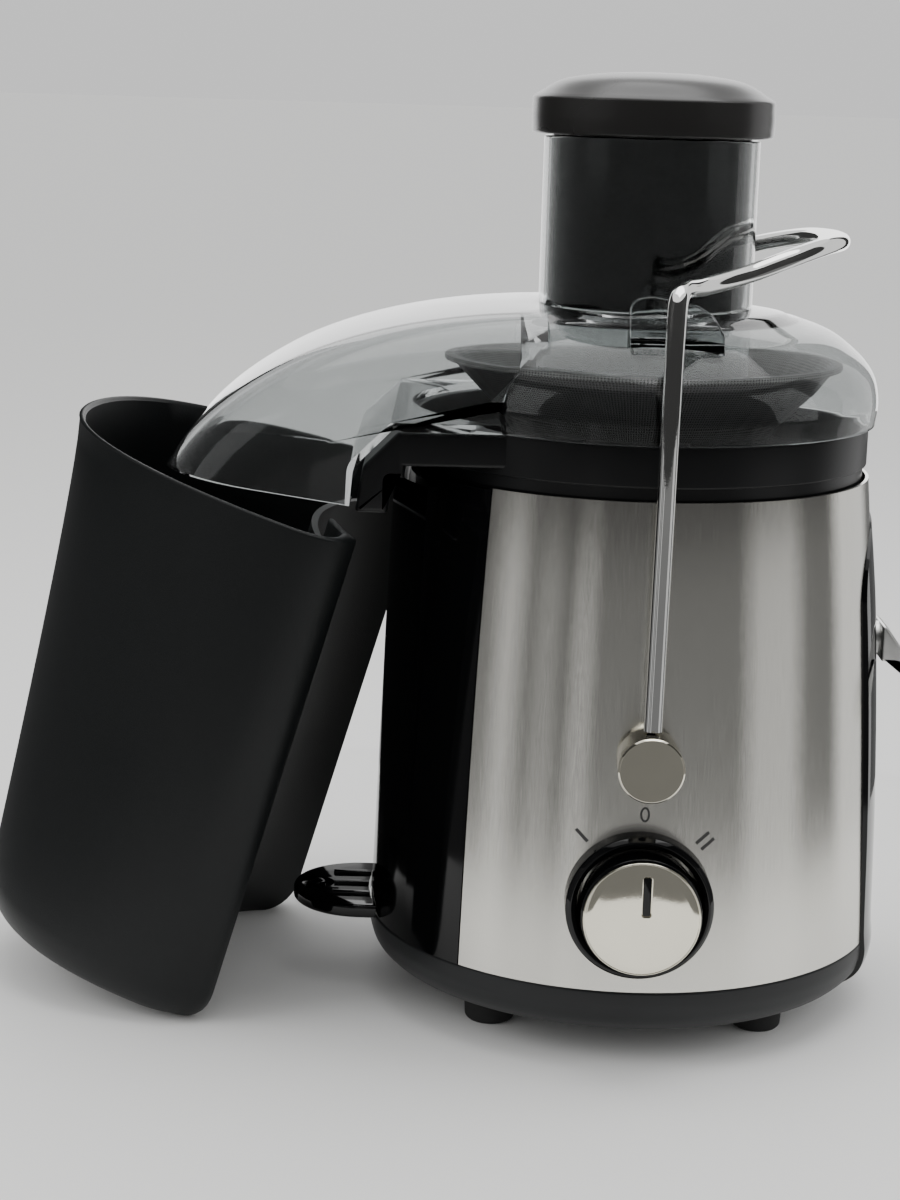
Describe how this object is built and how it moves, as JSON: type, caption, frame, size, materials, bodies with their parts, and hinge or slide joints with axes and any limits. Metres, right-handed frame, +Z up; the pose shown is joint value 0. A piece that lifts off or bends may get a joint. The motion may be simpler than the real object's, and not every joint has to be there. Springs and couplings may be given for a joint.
{
  "type": "centrifugal juicer",
  "caption": "Centrifugal juicer with a tapered steel body, clear lid with feed tube and pulp chute, wire locking arm, rotary switch and a leaning pulp container.",
  "frame": {"origin": "centre of the bounding box at the level of the feet", "axes": "+Z up, front with the speed knob towards -Y, pulp container towards -X, juice spout towards +X"},
  "size_m": [0.3958, 0.2412, 0.3699],
  "materials": {
    "satin_black": "satin moulded plastic",
    "gloss_black": "polished black plastic",
    "matte_black": "fine-textured matte plastic",
    "charcoal": "soft satin plastic",
    "brushed_steel": "vertical brush on a wrapped sheet",
    "machined_steel": "turned and pressed steel",
    "chrome": "bright plating",
    "smoke_clear": "smoke-tinted clear plastic",
    "grey_plastic": "moulded grey plastic",
    "rubber": "moulded rubber",
    "winding_copper": "enamelled copper winding",
    "lamination": "stacked steel laminations",
    "brass": "bent brass strip",
    "carbon": "pressed carbon"
  },
  "bodies": {
    "motor_base": {"base_tray": "satin_black", "base_plate": "satin_black", "support_tab": "satin_black", "juice_collector": "satin_black", "juice_duct": "satin_black", "left_strip_front": "gloss_black", "left_strip_rear": "gloss_black", "left_panel": "gloss_black", "spout_panel": "gloss_black", "knob_bezel": "gloss_black", "steel_band": "brushed_steel", "upper_bearing": "machined_steel", "lower_bearing": "machined_steel", "lid": "smoke_clear", "feed_tube": "smoke_clear", "motor_housing": "grey_plastic", "juice_spout": "grey_plastic", "arm_bush_front": "grey_plastic", "arm_bush_rear": "grey_plastic", "rotary_switch": "grey_plastic", "upper_bracket": "grey_plastic", "lower_bracket": "grey_plastic", "safety_switch": "grey_plastic", "foot_front_left": "rubber", "foot_front_right": "rubber", "foot_rear_left": "rubber", "foot_rear_right": "rubber", "motor_damper_left": "rubber", "motor_damper_right": "rubber", "shaft_seal": "rubber", "cord_gland": "rubber", "field_coil_left": "winding_copper", "field_coil_right": "winding_copper", "stator_core": "lamination", "brush_holder_left": "brass", "brush_holder_right": "brass", "carbon_brush_left": "carbon", "carbon_brush_right": "carbon"},
    "speed_knob": {"knob_body": "gloss_black", "knob_face": "chrome", "knob_pointer": "gloss_black"},
    "locking_arm": {"arm_wire": "chrome", "arm_boss_front": "chrome", "arm_boss_rear": "chrome", "arm_pin_front": "machined_steel", "arm_pin_rear": "machined_steel"},
    "pusher": {"pusher_body": "gloss_black", "pusher_cap": "charcoal"},
    "pulp_container": {"pulp_container": "matte_black"},
    "rotor": {"motor_shaft": "machined_steel", "armature_core": "lamination", "armature_winding_lower": "winding_copper", "armature_winding_upper": "winding_copper", "commutator": "winding_copper", "cooling_fan": "grey_plastic", "drive_coupling": "grey_plastic", "filter_basket": "machined_steel", "grating_disc": "machined_steel"}
  },
  "joints": [
    {"name": "speed_knob_turn", "type": "hinge", "parent": "motor_base", "child": "speed_knob", "pos_m": [0.06294, -0.11, 0.067], "axis": [0, 1, 0], "range_deg": [-45, 50]},
    {"name": "locking_arm_swing", "type": "hinge", "parent": "motor_base", "child": "locking_arm", "pos_m": [0.06414, 0, 0.1225], "axis": [0, 1, 0], "range_deg": [0, 90]},
    {"name": "pusher_lift", "type": "slide", "parent": "motor_base", "child": "pusher", "axis": [0, 0, 1], "range_m": [0, 0.12]},
    {"name": "pulp_container_dock", "type": "hinge", "parent": "motor_base", "child": "pulp_container", "pos_m": [-0.06506, 0, 0.2647], "axis": [-0.0745, -0.851, 0.5199], "range_deg": [0, 19.1]},
    {"name": "rotor_spin", "type": "hinge", "parent": "motor_base", "child": "rotor", "pos_m": [0.06294, 0, 0.13], "axis": [0, 0, 1], "continuous": true}
  ]
}
